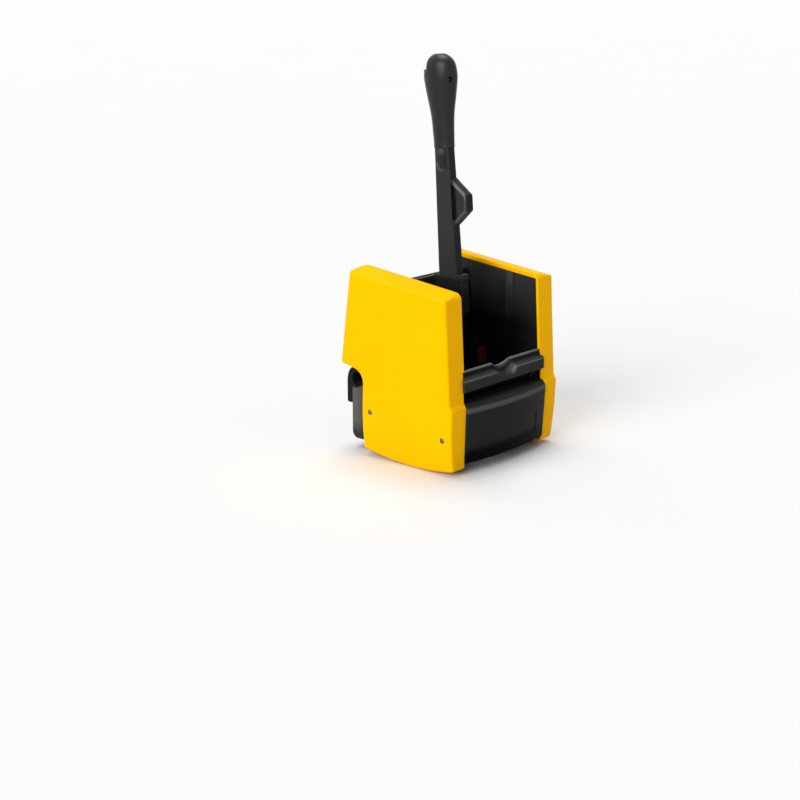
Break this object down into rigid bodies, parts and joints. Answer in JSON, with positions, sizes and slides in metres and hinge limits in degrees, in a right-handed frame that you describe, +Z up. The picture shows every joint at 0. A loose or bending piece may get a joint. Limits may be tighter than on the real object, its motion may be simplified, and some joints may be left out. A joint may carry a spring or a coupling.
{
  "type": "mop press",
  "caption": "Upright mop press whose lever tips a ribbed moving jaw against a sloping slotted jaw between hollow side covers, with straps that clamp it onto a tube behind.",
  "frame": {"origin": "on the axis of the tube that the press is clamped to, midway between the covers", "axes": "+X along the tube, to the right seen from the front; -Y is the front, where the press is loaded; +Z is up, along the lever"},
  "size_m": [0.279, 0.2642, 0.6346],
  "materials": {
    "yellow_plastic": "satin",
    "black_plastic": "satin",
    "gloss_black": "gloss",
    "grip_rubber": "matte",
    "steel": "brushed",
    "red_plastic": "matte",
    "rubber": "matte",
    "bush_plastic": "matte"
  },
  "bodies": {
    "frame": {"side_frame_left": "black_plastic", "side_frame_right": "black_plastic", "back_panel": "black_plastic", "front_jaw": "black_plastic", "front_apron": "gloss_black", "side_cover_left": "yellow_plastic", "side_cover_right": "yellow_plastic", "cover_screws": "steel", "frame_screws": "steel", "tube_bracket_left": "black_plastic", "tube_bracket_right": "black_plastic", "tube_strap_left": "black_plastic", "tube_strap_right": "black_plastic", "strap_bolts": "steel", "bracket_screws": "steel", "axle_bush_left": "bush_plastic", "axle_bush_right": "bush_plastic", "anchor_pins": "steel", "rest_buffers": "rubber", "return_spring_left": "steel", "return_spring_right": "steel"},
    "rocker": {"moving_jaw": "black_plastic", "lever_arm": "black_plastic", "lever_grip": "grip_rubber", "grip_screw": "steel", "lever_bolts": "steel", "lever_nuts": "steel", "axle": "steel", "axle_keys": "steel", "crank_left": "steel", "crank_right": "steel", "crank_keys": "steel", "spring_pins": "steel", "axle_clips": "steel", "jaw_glide_left": "red_plastic", "jaw_glide_right": "red_plastic", "glide_screws": "steel"}
  },
  "joints": [
    {"name": "lever_hinge", "type": "hinge", "parent": "frame", "child": "rocker", "pos_m": [0, -0.099, -0.08], "axis": [1, 0, 0], "range_deg": [0, 40], "stiffness_Nm_per_rad": 1.6, "springref_deg": -40.11, "deforming": ["return_spring_left", "return_spring_right"]}
  ]
}
